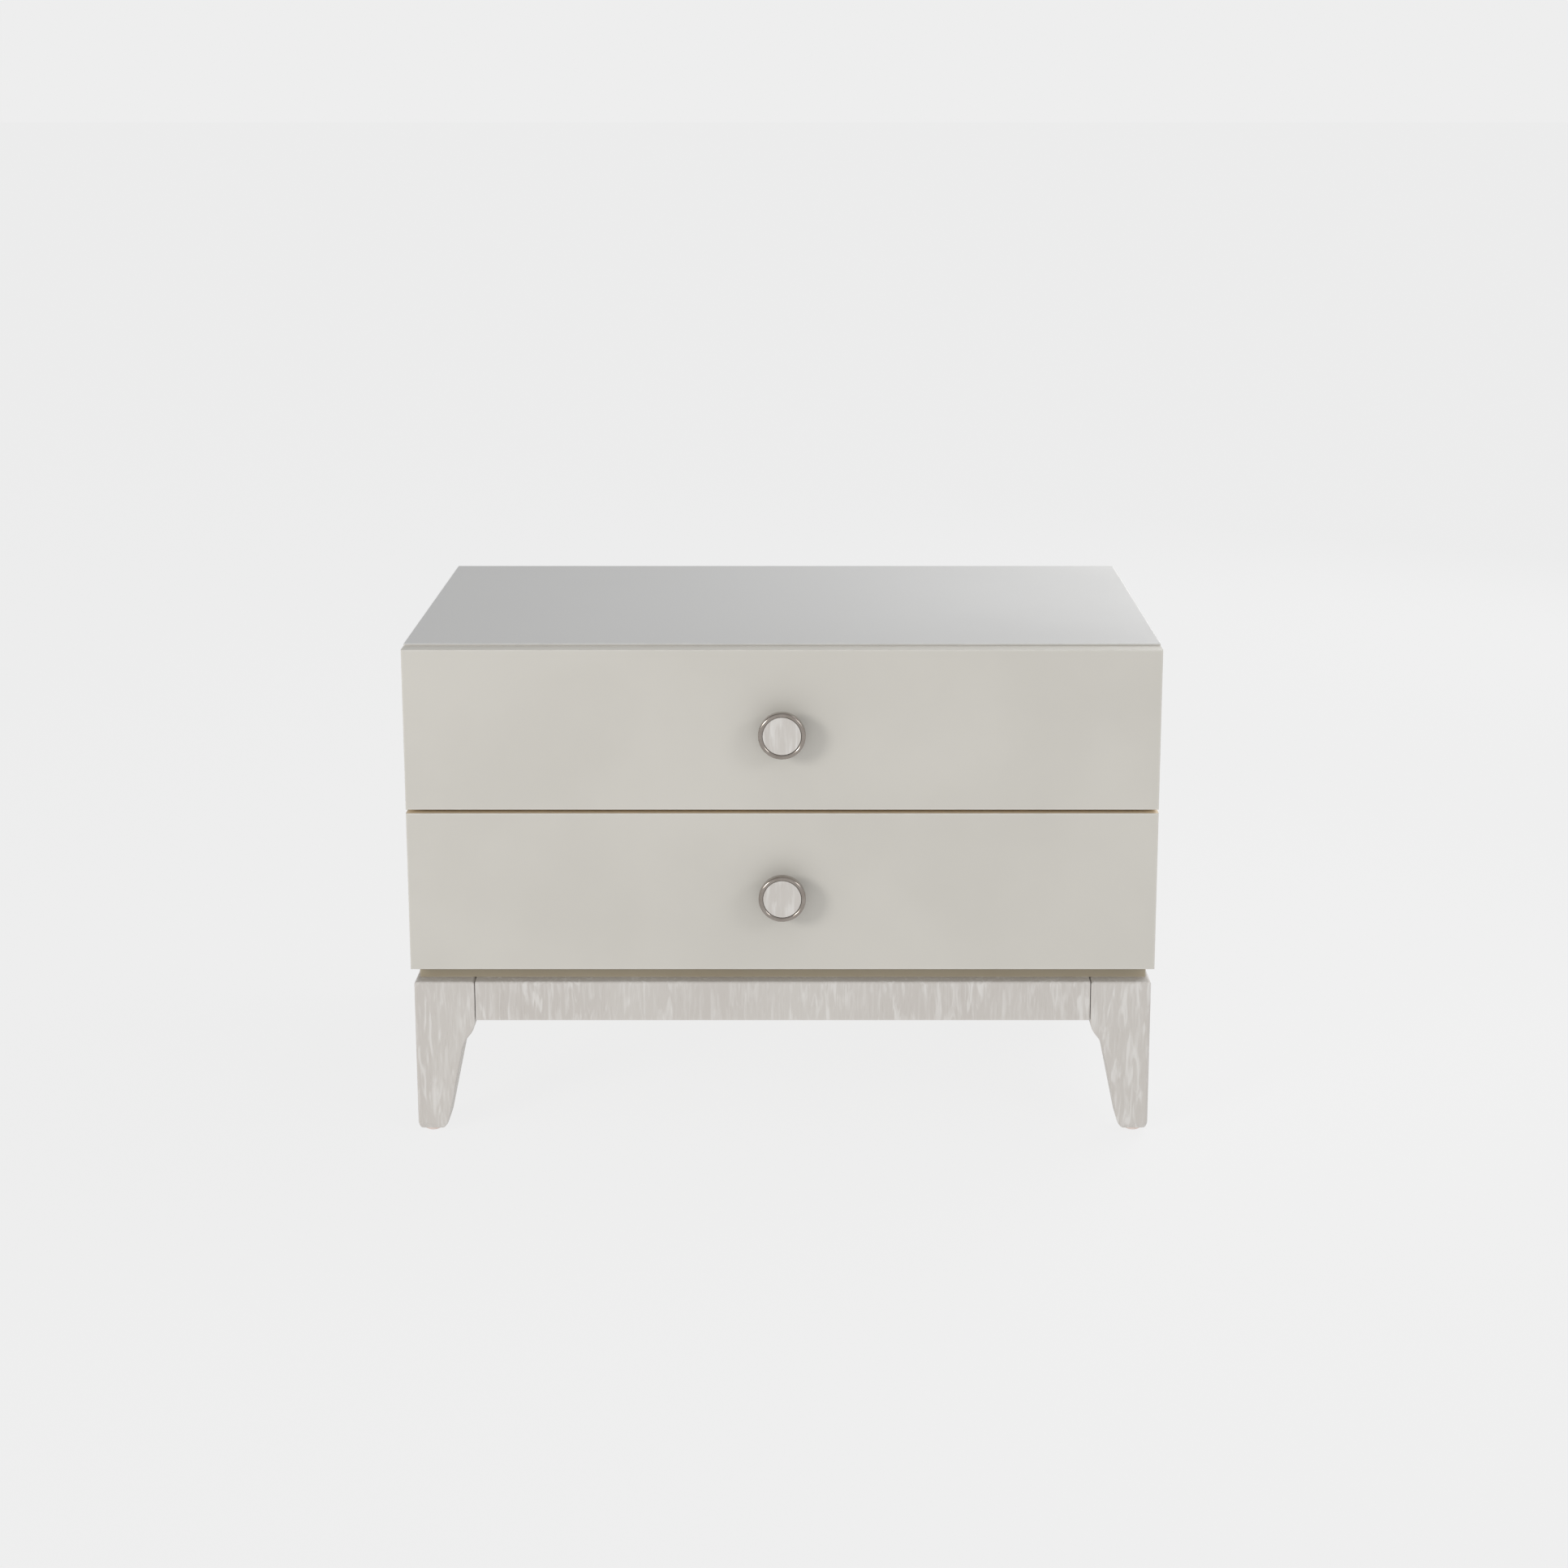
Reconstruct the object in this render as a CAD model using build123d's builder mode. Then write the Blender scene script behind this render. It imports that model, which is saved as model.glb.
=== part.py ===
from build123d import *
import os

# Chest of two drawers on a separate leg frame, to stand beside a bed.
# Millimetres. +Z is up and the drawer fronts face -Y. The origin is on the floor,
# under the middle of the overall box, knobs included.

# ---------------------------------------------------------------- overall
width = 800.0            # across the case and the drawer fronts
depth = 460.0            # drawer-front face to the back of the case
height = 543.0           # floor to the top surface

# ---------------------------------------------------------------- case
panel = 18.0             # thickness of the case boards
back_thickness = 6.0
back_rebate = 9.0        # how far the back board reaches into the case boards
case_round = 1.5         # rounding of the outer corners of the case
tongue = 6.0             # thickness of the tongues that join the case boards
tongue_reach = 8.0
tongue_stop = 24.0       # tongues end this far from the front and back edges
divider_depth = 70.0     # rail between the two drawers, front to back
divider_stop = 10.0
joint_play = 0.1         # glue gap at the ends of tongues and tenons

# ---------------------------------------------------------------- drawer fronts
front_thickness = 18.0
front_gap = 4.0          # between the two fronts
front_standoff = 2.0     # fronts close onto bumpers, this far from the case
front_round = 1.0
top_reveal = 2.5         # the top board shows this much above the upper front
body_gap = 0.3           # left between pieces that move apart

# ---------------------------------------------------------------- drawer boxes
box_wall = 15.0
box_back_room = 32.0     # from the back of the drawer box to the back of the case
box_rise = 24.0          # box above the lower edge of its front
box_headroom = 30.5      # box below the upper edge of its front
bottom_thickness = 6.0
bottom_lift = 10.0       # bottom board above the lower edge of the walls
bottom_housing = 6.0     # depth of the groove for the bottom board
bottom_play = 0.5
tails = 3                # dovetails on each corner
tail_share = 0.6         # of the pitch, where a tail is narrowest
tail_slope = 1 / 7
box_round = 1.5          # rounding along the top of the box sides

# ---------------------------------------------------------------- ball-bearing slides
slide_space = 12.7       # between case side and box side
slide_short = 10.0       # slide shorter than the drawer box
slide_setback = 2.0      # behind the front edge of the case
slide_height = 35.3
slide_sheet = 1.2
channel_depth = 10.2
channel_lip = 0.9        # lips that keep the balls in
race = 4.2               # free height that the balls run in
ball_radius = 1.8
cage_sheet = 0.5
cage_share = 0.24        # of the slide's length: the cage stays in both channels
cage_depth = 7.0
cage_clear = 0.5         # cage from the web of the fixed channel
balls_in_row = 6
ball_play = 0.05

# ---------------------------------------------------------------- screws
wood_screw_radius = 2.0
wood_screw_length = 14.0
wood_head_radius = 3.8
wood_head_height = 1.9
screw_play = 0.1
recess_width = 0.9
recess_span = 4.0
recess_depth = 1.2
pan_head_radius = 4.2
pan_head_height = 2.6
front_screw_bite = 13.0  # of the screws that hold a drawer front
front_screw_x = 250.0
front_screw_inset = 30.0
slide_screw_inset = 36.0 # outer slide screws from the ends of the slide
back_screw_inset = 60.0  # back screws from the corners of the back board

# ---------------------------------------------------------------- knobs
knob_radius = 25.0
knob_reach = 27.0        # knob in front of the drawer front
knob_neck_radius = 7.5
knob_foot_radius = 10.5
knob_foot_height = 2.0
knob_head_height = 9.5   # thickness of the rim
knob_back_drop = 3.0     # the back of the head falls towards the neck by this much
bezel = 4.7              # width of the metal rim round the inlay
bezel_round = 2.2
inlay_thickness = 3.0
inlay_sink = 1.2         # inlay below the crest of the rim
inlay_play = 0.1
knob_screw_radius = 2.0
knob_screw_bite = 15.0

# ---------------------------------------------------------------- leg frame
frame_height = 173.0
frame_inset = 2.5        # leg frame inside the outline of the case and fronts
frame_top_round = 3.5
leg_width = 65.0
foot_width = 31.0        # width that the taper would have on the floor
leg_taper = 0.2          # widening of the leg per unit of height
curve_height = 34.5      # the curve above the straight taper, up to the aprons
leg_round = 4.0          # outer corner
leg_arris = 1.5          # other three corners
foot_outer_round = 13.0  # the foot's rounding runs on into the glide
foot_inner_round = 21.5
apron_height = 43.5
apron_thickness = 25.0
apron_recess = 0.3       # aprons behind the faces of the legs
shadow_gap = 0.8         # open line between an apron and a leg
tenon_length = 22.0
tenon_thickness = 10.0
tenon_shoulder = 8.0
glide_height = 5.5
glide_margin = 0.5       # sole of the foot wider than the glide
glide_dome = 9.5         # width of the curve round the underside of a glide
glide_pin_radius = 1.5
glide_pin_length = 18.0
brace_reach = 75.0       # corner brace along an apron, from the leg
brace_height = 34.0
bolt_radius = 3.0
bolt_head_radius = 6.5
bolt_head_height = 4.0
bolt_bite = 13.0         # in the case bottom
plinth_strip = 20.0
plinth_height = 15.5
plinth_side_inset = 7.0
plinth_back_inset = 7.0

# ---------------------------------------------------------------- bumpers
bumper_radius = 4.0
bumper_inset = 25.0      # bumpers from the upper and lower edges of a drawer front

# ---------------------------------------------------------------- places
back_y = (depth + knob_reach) / 2
face_y = back_y - depth
front_back_y = face_y + front_thickness
case_front_y = front_back_y + front_standoff
case_bottom_z = frame_height + plinth_height
floor_z = case_bottom_z + panel
ceiling_z = height - panel
front_height = (height - top_reveal - case_bottom_z - front_gap) / 2
front_zs = {"lower": case_bottom_z, "upper": case_bottom_z + front_height + front_gap}
divider_z = front_zs["upper"] - front_gap / 2
inner_half = width / 2 - panel
box_half = inner_half - slide_space
box_inner_half = box_half - box_wall
box_height = front_height - box_rise - box_headroom
box_front_inner_y = front_back_y + box_wall
box_depth = depth - front_thickness - box_back_room
box_back_y = front_back_y + box_depth
box_back_inner_y = box_back_y - box_wall
slide_front_y = case_front_y + slide_setback
slide_length = box_depth - slide_short
slide_back_y = slide_front_y + slide_length
cage_length = cage_share * slide_length
cage_front_y = slide_front_y + (slide_length - cage_length) / 2
frame_half = width / 2 - frame_inset
frame_front_y = face_y + frame_inset
frame_back_y = back_y - frame_inset
frame_mid_y = (frame_front_y + frame_back_y) / 2
apron_half = frame_half - leg_width
apron_bottom_z = frame_height - apron_height
taper_top = apron_bottom_z - curve_height
neck_end = knob_reach - knob_head_height - knob_back_drop

os.makedirs("parts", exist_ok=True)


def save(part, name):
    """Labels a finished piece and writes it as one STEP file."""
    part.label = name
    export_step(part, f"parts/{name}.step")


def board(x0, x1, y0, y1, z0, z1, mode=Mode.ADD):
    """A square-edged board between two corners, in the part being built."""
    with Locations(((x0 + x1) / 2, (y0 + y1) / 2, (z0 + z1) / 2)):
        Box(x1 - x0, y1 - y0, z1 - z0, mode=mode)


def looking(point, direction):
    """Place of a screw whose head is at point and faces along direction."""
    return Plane(origin=point, z_dir=direction).location


def group_of(blank, places):
    """One group of separate, identical small pieces."""
    with BuildPart() as group:
        with Locations(*places):
            add(blank)
    return group.part


def drill(hole, places):
    """Cuts the same hole at every place, in the part being built."""
    with Locations(*places):
        add(hole, mode=Mode.SUBTRACT)


# ================================================================ screw blanks
# Each blank stands at the origin with its head facing +Z.
def cross_recess(top_z):
    with Locations((0, 0, top_z)):
        for turn in (0, 90):
            Box(
                recess_span, recess_width, 2 * recess_depth,
                rotation=(0, 0, turn), mode=Mode.SUBTRACT,
            )


def countersunk(play):
    """A countersunk screw with its head flush at z = 0, or with play its hole."""
    shank = wood_screw_radius + play
    end = wood_screw_length + play
    with BuildPart() as screw:
        with BuildSketch(Plane.XZ):
            with BuildLine():
                Polyline(
                    (0, 0), (wood_head_radius + play, 0), (shank, -wood_head_height),
                    (shank, -end + wood_screw_radius), (0, -end), close=True,
                )
            make_face()
        revolve(axis=Axis.Z)
        if not play:
            cross_recess(0)
    return screw.part


def pan_head(radius, head_radius, head_height, length):
    """A pan-head screw whose head sits on z = 0."""
    with BuildPart() as screw:
        Cylinder(radius, length, align=(Align.CENTER, Align.CENTER, Align.MAX))
        Cylinder(head_radius, head_height, align=(Align.CENTER, Align.CENTER, Align.MIN))
        fillet(screw.edges().group_by(Axis.Z)[-1], head_height * 0.6)
        cross_recess(head_height)
    return screw.part


def plain_hole(radius, length):
    """The hole for a pan-head screw of this radius and length."""
    with BuildPart() as hole:
        Cylinder(
            radius + screw_play, length + screw_play,
            align=(Align.CENTER, Align.CENTER, Align.MAX),
        )
    return hole.part


wood_screw = countersunk(0)
wood_screw_hole = countersunk(screw_play)
front_screw_length = box_wall + front_screw_bite
front_screw = pan_head(
    wood_screw_radius, pan_head_radius, pan_head_height, front_screw_length
)
front_screw_hole = plain_hole(wood_screw_radius, front_screw_length)
knob_screw_length = box_wall + front_thickness + knob_screw_bite
knob_screw_hole = plain_hole(knob_screw_radius, knob_screw_length)
bolt_length = brace_height + plinth_height + bolt_bite
bolt_hole = plain_hole(bolt_radius, bolt_length)


# ================================================================ where screws go
slide_screw_ys = [
    slide_front_y + slide_screw_inset,
    slide_back_y - slide_screw_inset,
]


def slide_z(drawer):
    return front_zs[drawer] + box_rise + box_height / 2


def case_slide_screws(side, drawer):
    """Screws through a fixed channel into its case side, clear of the ball cage."""
    x = side * (inner_half - slide_sheet)
    return [looking((x, y, slide_z(drawer)), (-side, 0, 0)) for y in slide_screw_ys]


def box_slide_screws(side, drawer):
    """Screws through a drawer channel into its box side."""
    x = side * (box_half + slide_sheet)
    return [looking((x, y, slide_z(drawer)), (side, 0, 0)) for y in slide_screw_ys]


def front_screws(drawer):
    """Screws from inside the drawer box into the drawer front."""
    low = front_zs[drawer] + box_rise
    return [
        looking((x, box_front_inner_y, z), (0, 1, 0))
        for x in (-front_screw_x, front_screw_x)
        for z in (low + front_screw_inset, low + box_height - front_screw_inset)
    ]


def knob_z(drawer):
    return front_zs[drawer] + front_height / 2


def back_screws():
    """Screws round the edge of the back board."""
    side_x = inner_half + back_rebate / 2
    low = floor_z - back_rebate + back_screw_inset
    high = ceiling_z + back_rebate - back_screw_inset
    end_x = inner_half + back_rebate - back_screw_inset
    spots = [(x, z) for x in (-side_x, side_x) for z in (low, (low + high) / 2, high)]
    for z in (floor_z - back_rebate / 2, ceiling_z + back_rebate / 2):
        spots += [(x, z) for x in (-end_x, 0, end_x)]
    return [looking((x, back_y, z), (0, 1, 0)) for x, z in spots]


def frame_bolts():
    """Bolts up through the corner braces, inside the inner corner of each leg."""
    step = (brace_reach - leg_width + apron_thickness) / 4
    x = apron_half - step
    front = frame_front_y + leg_width + step
    back = frame_back_y - leg_width - step
    z = frame_height - brace_height
    return [looking((side * x, y, z), (0, 0, -1)) for side in (-1, 1) for y in (front, back)]


# ================================================================ case
tongue_y0 = case_front_y + tongue_stop
tongue_y1 = back_y - tongue_stop
side_mid = width / 2 - panel / 2
divider_y0 = case_front_y + divider_stop
divider_y1 = case_front_y + divider_depth - divider_stop


def back_board(mode=Mode.ADD):
    reach = inner_half + back_rebate
    board(
        -reach, reach, back_y - back_thickness, back_y,
        floor_z - back_rebate, ceiling_z + back_rebate, mode,
    )


def groove_for_sides(z0, z1):
    """Grooves in the top or bottom board for the tongues of both case sides."""
    for side in (-1, 1):
        x = side * side_mid
        board(
            x - tongue / 2, x + tongue / 2, tongue_y0 - joint_play,
            tongue_y1 + joint_play, z0, z1, Mode.SUBTRACT,
        )


with BuildPart() as top_panel:
    board(-width / 2, width / 2, case_front_y, back_y, ceiling_z, height)
    fillet(top_panel.edges().filter_by(Axis.Z), case_round)
    fillet(top_panel.edges().group_by(Axis.Z)[-1], case_round * 0.6)
    groove_for_sides(ceiling_z, ceiling_z + tongue_reach + joint_play)
    back_board(Mode.SUBTRACT)
    drill(wood_screw_hole, back_screws())
save(top_panel.part, "top_panel")

with BuildPart() as case_bottom:
    board(-width / 2, width / 2, case_front_y, back_y, case_bottom_z, floor_z)
    fillet(case_bottom.edges().filter_by(Axis.Z), case_round)
    groove_for_sides(floor_z - tongue_reach - joint_play, floor_z)
    back_board(Mode.SUBTRACT)
    drill(wood_screw_hole, back_screws())
    drill(bolt_hole, frame_bolts())
save(case_bottom.part, "case_bottom")

for side, name in ((-1, "left"), (1, "right")):
    x0, x1 = sorted((side * inner_half, side * width / 2))
    mid = side * side_mid
    with BuildPart() as case_side:
        board(x0, x1, case_front_y, back_y, floor_z, ceiling_z)
        fillet(
            case_side.edges().filter_by(Axis.Z).sort_by(lambda e: side * e.center().X)[-2:],
            case_round,
        )
        board(
            mid - tongue / 2, mid + tongue / 2, tongue_y0, tongue_y1,
            floor_z - tongue_reach, ceiling_z + tongue_reach,
        )
        x0, x1 = sorted((side * inner_half, side * (inner_half + tongue_reach + joint_play)))
        board(
            x0, x1, divider_y0 - joint_play, divider_y1 + joint_play,
            divider_z - tongue / 2, divider_z + tongue / 2, Mode.SUBTRACT,
        )
        back_board(Mode.SUBTRACT)
        drill(wood_screw_hole, back_screws())
        for drawer in front_zs:
            drill(wood_screw_hole, case_slide_screws(side, drawer))
    save(case_side.part, f"case_side_{name}")

with BuildPart() as back_panel:
    back_board()
    drill(wood_screw_hole, back_screws())
save(back_panel.part, "back_panel")

with BuildPart() as divider:
    board(
        -inner_half, inner_half, case_front_y, case_front_y + divider_depth,
        divider_z - panel / 2, divider_z + panel / 2,
    )
    reach = inner_half + tongue_reach
    board(
        -reach, reach, divider_y0, divider_y1,
        divider_z - tongue / 2, divider_z + tongue / 2,
    )
save(divider.part, "divider")

# ================================================================ plinth
plinth_half = width / 2 - plinth_side_inset
plinth_back_y = back_y - plinth_back_inset
plinth_strips = {
    "front": (-plinth_half, plinth_half, case_front_y, case_front_y + plinth_strip),
    "back": (-plinth_half, plinth_half, plinth_back_y - plinth_strip, plinth_back_y),
    "left": (
        -plinth_half, -plinth_half + plinth_strip,
        case_front_y + plinth_strip, plinth_back_y - plinth_strip,
    ),
    "right": (
        plinth_half - plinth_strip, plinth_half,
        case_front_y + plinth_strip, plinth_back_y - plinth_strip,
    ),
}
for name, (x0, x1, y0, y1) in plinth_strips.items():
    with BuildPart() as strip:
        board(x0, x1, y0, y1, frame_height, case_bottom_z)
    save(strip.part, f"plinth_{name}")


# ================================================================ legs
def bend_point(start, direction, end):
    """Where an arc that leaves start in a direction meets one that ends going straight up."""
    up = Vector(0, 1)
    across = end - start
    along = across.dot(direction + up)
    turn = 1 - direction.dot(up)
    reach = ((along**2 + 2 * turn * across.dot(across)) ** 0.5 - along) / (2 * turn)
    return (start + direction * reach + end - up * reach) / 2


def leg_outline(outer):
    """Side view of a leg whose outer face is at outer and which widens inward."""
    with BuildSketch() as outline:
        with BuildLine():
            taper_width = foot_width + leg_taper * taper_top
            taper_end = Vector(taper_width, taper_top)
            shoulder = Vector(leg_width, apron_bottom_z)
            bend = bend_point(taper_end, Vector(leg_taper, 1).normalized(), shoulder)
            Polyline(
                (foot_width, 0), (0, 0), (0, frame_height),
                (leg_width, frame_height), (leg_width, apron_bottom_z),
            )
            TangentArc(shoulder, bend, tangent=(0, -1))
            TangentArc(taper_end, bend, tangent=(leg_taper, 1))
            Line(taper_end, (foot_width, 0))
        make_face()
        sole = outline.vertices().group_by(Axis.Y)[0].sort_by(Axis.X)
        fillet(sole[0], foot_outer_round)
        sole = outline.vertices().group_by(Axis.Y)[0].sort_by(Axis.X)
        fillet(sole[-1], foot_inner_round)
        Rectangle(3 * leg_width, 2 * glide_height, mode=Mode.SUBTRACT)
    return Pos(outer, 0, 0) * outline.sketch


foot_sole = leg_outline(0).edges().sort_by(Axis.Y)[0]
glide_radius = foot_sole.length / 2 - glide_margin
glide_x = -frame_half + foot_sole.center().X
glide_y = frame_front_y + foot_sole.center().X
mortise_length = tenon_length + joint_play
mortise_z0 = apron_bottom_z + tenon_shoulder
mortise_z1 = frame_height - tenon_shoulder
tenon_inset = apron_recess + (apron_thickness - tenon_thickness) / 2

with BuildPart() as leg:
    with BuildSketch(Plane.XZ.offset(-frame_front_y)):
        add(leg_outline(-frame_half))
    extrude(amount=-leg_width)
    with BuildSketch(Plane.YZ.offset(-frame_half)):
        add(leg_outline(frame_front_y))
    extrude(amount=leg_width, mode=Mode.INTERSECT)
    upright = leg.edges().filter_by(Axis.Z).sort_by(lambda e: e.center().X + e.center().Y)
    fillet(upright[0], leg_round)
    corner_sum = frame_front_y - frame_half + 2 * leg_round
    arrises = leg.edges().filter_by(
        lambda e: e.bounding_box().size.Z > 30 and e.center().X + e.center().Y > corner_sum
    )
    fillet(arrises, leg_arris)
    top_edges = leg.edges().group_by(Axis.Z)[-1]
    outer = top_edges.sort_by(lambda e: e.center().X + e.center().Y)[:3]
    fillet(outer, frame_top_round)
    # Mortises: one for the front apron, one for the side apron.
    board(
        -apron_half - mortise_length, -apron_half,
        frame_front_y + tenon_inset, frame_front_y + tenon_inset + tenon_thickness,
        mortise_z0, mortise_z1, Mode.SUBTRACT,
    )
    leg_end_y = frame_front_y + leg_width
    board(
        -frame_half + tenon_inset, -frame_half + tenon_inset + tenon_thickness,
        leg_end_y - mortise_length, leg_end_y, mortise_z0, mortise_z1, Mode.SUBTRACT,
    )
    with Locations((glide_x, glide_y, glide_height)):
        Cylinder(
            glide_pin_radius, glide_pin_length + joint_play,
            align=(Align.CENTER, Align.CENTER, Align.MIN), mode=Mode.SUBTRACT,
        )

across = Plane.YZ
lengthwise = Plane.XZ.offset(-frame_mid_y)
save(leg.part, "leg_front_left")
save(mirror(leg.part, about=across), "leg_front_right")
back_leg = mirror(leg.part, about=lengthwise)
save(back_leg, "leg_back_left")
save(mirror(back_leg, about=across), "leg_back_right")

with BuildPart() as glide:
    with BuildSketch(Plane.XZ):
        with BuildLine():
            Polyline(
                (0, glide_height + glide_pin_length), (0, 0), (glide_radius - glide_dome, 0),
            )
            TangentArc(
                (glide_radius - glide_dome, 0), (glide_radius, glide_height), tangent=(1, 0)
            )
            Polyline(
                (glide_radius, glide_height), (glide_pin_radius, glide_height),
                (glide_pin_radius, glide_height + glide_pin_length - glide_pin_radius),
                (0, glide_height + glide_pin_length),
            )
        make_face()
    revolve(axis=Axis.Z)
glide_ys = (glide_y, 2 * frame_mid_y - glide_y)
glide_places = [Pos(x, y, 0) for x in (glide_x, -glide_x) for y in glide_ys]
save(group_of(glide.part, glide_places), "floor_glides")


# ================================================================ aprons
def apron(span):
    """An apron for a span between two legs along X, its face at y = 0, tenons included."""
    length = span - 2 * shadow_gap
    with BuildPart() as piece:
        board(-length / 2, length / 2, 0, apron_thickness, apron_bottom_z, frame_height)
        face_edge = piece.edges().filter_by(Axis.X).group_by(Axis.Z)[-1].sort_by(Axis.Y)[0]
        fillet(face_edge, frame_top_round)
        low_edge = piece.edges().filter_by(Axis.X).group_by(Axis.Z)[0].sort_by(Axis.Y)[0]
        fillet(low_edge, leg_arris)
        y0 = tenon_inset - apron_recess
        reach = span / 2 + tenon_length
        board(-reach, reach, y0, y0 + tenon_thickness, mortise_z0, mortise_z1)
    return piece.part


long_apron = Pos(0, frame_front_y + apron_recess, 0) * apron(2 * apron_half)
save(long_apron, "apron_front")
save(mirror(long_apron, about=lengthwise), "apron_back")
side_span = frame_back_y - frame_front_y - 2 * leg_width
side_apron = Pos(-frame_half + apron_recess, frame_mid_y, 0) * Rot(0, 0, -90) * apron(side_span)
save(side_apron, "apron_left")
save(mirror(side_apron, about=across), "apron_right")

# ================================================================ corner braces
brace_x = frame_half - apron_recess - apron_thickness
brace_y = frame_front_y + apron_recess + apron_thickness
leg_in_y = frame_front_y + leg_width
with BuildPart() as brace:
    with BuildSketch(Plane.XY.offset(frame_height - brace_height)):
        Polygon(
            (-apron_half + brace_reach, brace_y), (-apron_half, brace_y),
            (-apron_half, leg_in_y), (-brace_x, leg_in_y),
            (-brace_x, leg_in_y + brace_reach), align=None,
        )
    extrude(amount=brace_height)
    drill(bolt_hole, frame_bolts())
back_brace = mirror(brace.part, about=lengthwise)
braces = [
    brace.part, mirror(brace.part, about=across),
    back_brace, mirror(back_brace, about=across),
]
with BuildPart() as corner_braces:
    for piece in braces:
        add(piece)
save(corner_braces.part, "corner_braces")

frame_bolt = pan_head(bolt_radius, bolt_head_radius, bolt_head_height, bolt_length)
save(group_of(frame_bolt, frame_bolts()), "frame_bolts")
save(group_of(wood_screw, back_screws()), "back_screws")

with BuildPart() as bumper:
    Cylinder(
        bumper_radius, front_standoff - body_gap,
        align=(Align.CENTER, Align.CENTER, Align.MIN),
    )
    fillet(bumper.edges().group_by(Axis.Z)[-1], 0.6)
bumper_places = [
    looking((x, case_front_y, z), (0, -1, 0))
    for x in (-side_mid, side_mid)
    for low in front_zs.values()
    for z in (low + bumper_inset, low + front_height - bumper_inset)
]
save(group_of(bumper.part, bumper_places), "bumpers")


# ================================================================ slides
# A slide is drawn in its own cross-section: s runs from the case side towards the
# drawer box, and t up and down from the middle of the slide.
def slide_section(points, side, drawer, y):
    """Closed outline across a slide, on the plane at y."""
    mid_z = slide_z(drawer)
    with BuildSketch(Plane.XZ.offset(-y)) as section:
        with BuildLine():
            Polyline(*[(side * (inner_half - s), mid_z + t) for s, t in points], close=True)
        make_face()
    return section.sketch


def channel_points(web, mouth, half_height, lip):
    """A channel with its web at s = web, opening towards s = mouth, and turned lips."""
    way = 1 if mouth > web else -1
    inner_web = web + way * slide_sheet
    lip_start = mouth - way * slide_sheet
    low = half_height - slide_sheet
    upper = [(web, half_height), (mouth, half_height), (mouth, low), (lip_start, low)]
    if lip < 0:
        upper = [(web, half_height), (mouth, half_height), (mouth, low + lip)]
        upper += [(lip_start, low + lip), (lip_start, low)]
    if lip > 0:
        upper = [(web, half_height), (lip_start, half_height), (lip_start, half_height + lip)]
        upper += [(mouth, half_height + lip), (mouth, low)]
    upper.append((inner_web, low))
    return upper + [(s, -t) for s, t in reversed(upper)]


inner_channel_half = slide_height / 2 - slide_sheet - race
ball_t = inner_channel_half + race / 2
ball_s = slide_space / 2
fixed_points = channel_points(0, channel_depth, slide_height / 2, -channel_lip)
drawer_points = channel_points(
    slide_space, slide_space - channel_depth, inner_channel_half, channel_lip
)
cage_s = slide_sheet + cage_clear
cage_t = ball_t + cage_sheet / 2
cage_upper = [
    (cage_s, cage_t), (cage_s + cage_depth, cage_t),
    (cage_s + cage_depth, cage_t - cage_sheet),
    (cage_s + cage_sheet, cage_t - cage_sheet),
]
cage_points = cage_upper + [(s, -t) for s, t in reversed(cage_upper)]
ball_pitch = cage_length / balls_in_row


def ball_places(side, drawer):
    return [
        Pos(
            side * (inner_half - ball_s),
            cage_front_y + ball_pitch * (n + 0.5),
            slide_z(drawer) + row * ball_t,
        )
        for n in range(balls_in_row)
        for row in (-1, 1)
    ]


with BuildPart() as ball:
    Sphere(ball_radius)
with BuildPart() as ball_hole:
    Cylinder(ball_radius + ball_play, 3 * cage_sheet)

for drawer in front_zs:
    for side, name in ((-1, "left"), (1, "right")):
        with BuildPart() as fixed_channel:
            with BuildSketch(Plane.XZ.offset(-slide_front_y)):
                add(slide_section(fixed_points, side, drawer, 0))
            extrude(amount=-slide_length)
            drill(wood_screw_hole, case_slide_screws(side, drawer))
        save(fixed_channel.part, f"{drawer}_case_channel_{name}")

        with BuildPart() as drawer_channel:
            with BuildSketch(Plane.XZ.offset(-slide_front_y)):
                add(slide_section(drawer_points, side, drawer, 0))
            extrude(amount=-slide_length)
            drill(wood_screw_hole, box_slide_screws(side, drawer))
        save(drawer_channel.part, f"{drawer}_drawer_channel_{name}")

        with BuildPart() as cage:
            with BuildSketch(Plane.XZ.offset(-cage_front_y)):
                add(slide_section(cage_points, side, drawer, 0))
            extrude(amount=-cage_length)
            drill(ball_hole.part, ball_places(side, drawer))
        save(cage.part, f"{drawer}_ball_cage_{name}")
    both = ball_places(-1, drawer) + ball_places(1, drawer)
    save(group_of(ball.part, both), f"{drawer}_balls")

case_screws = [p for d in front_zs for side in (-1, 1) for p in case_slide_screws(side, d)]
save(group_of(wood_screw, case_screws), "case_slide_screws")

# ================================================================ drawers
tail_pitch = box_height / tails
tail_narrow = tail_pitch * tail_share / 2
tail_wide = tail_narrow + box_wall * tail_slope


def box_bottom_board(drawer, play, mode=Mode.ADD):
    """The bottom board of a drawer box, or with play the groove round it."""
    x = box_inner_half + bottom_housing - bottom_play + play
    reach = bottom_housing - bottom_play + play
    low = front_zs[drawer] + box_rise + bottom_lift
    board(
        -x, x, box_front_inner_y - reach, box_back_inner_y + reach,
        low, low + bottom_thickness, mode,
    )


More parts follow.
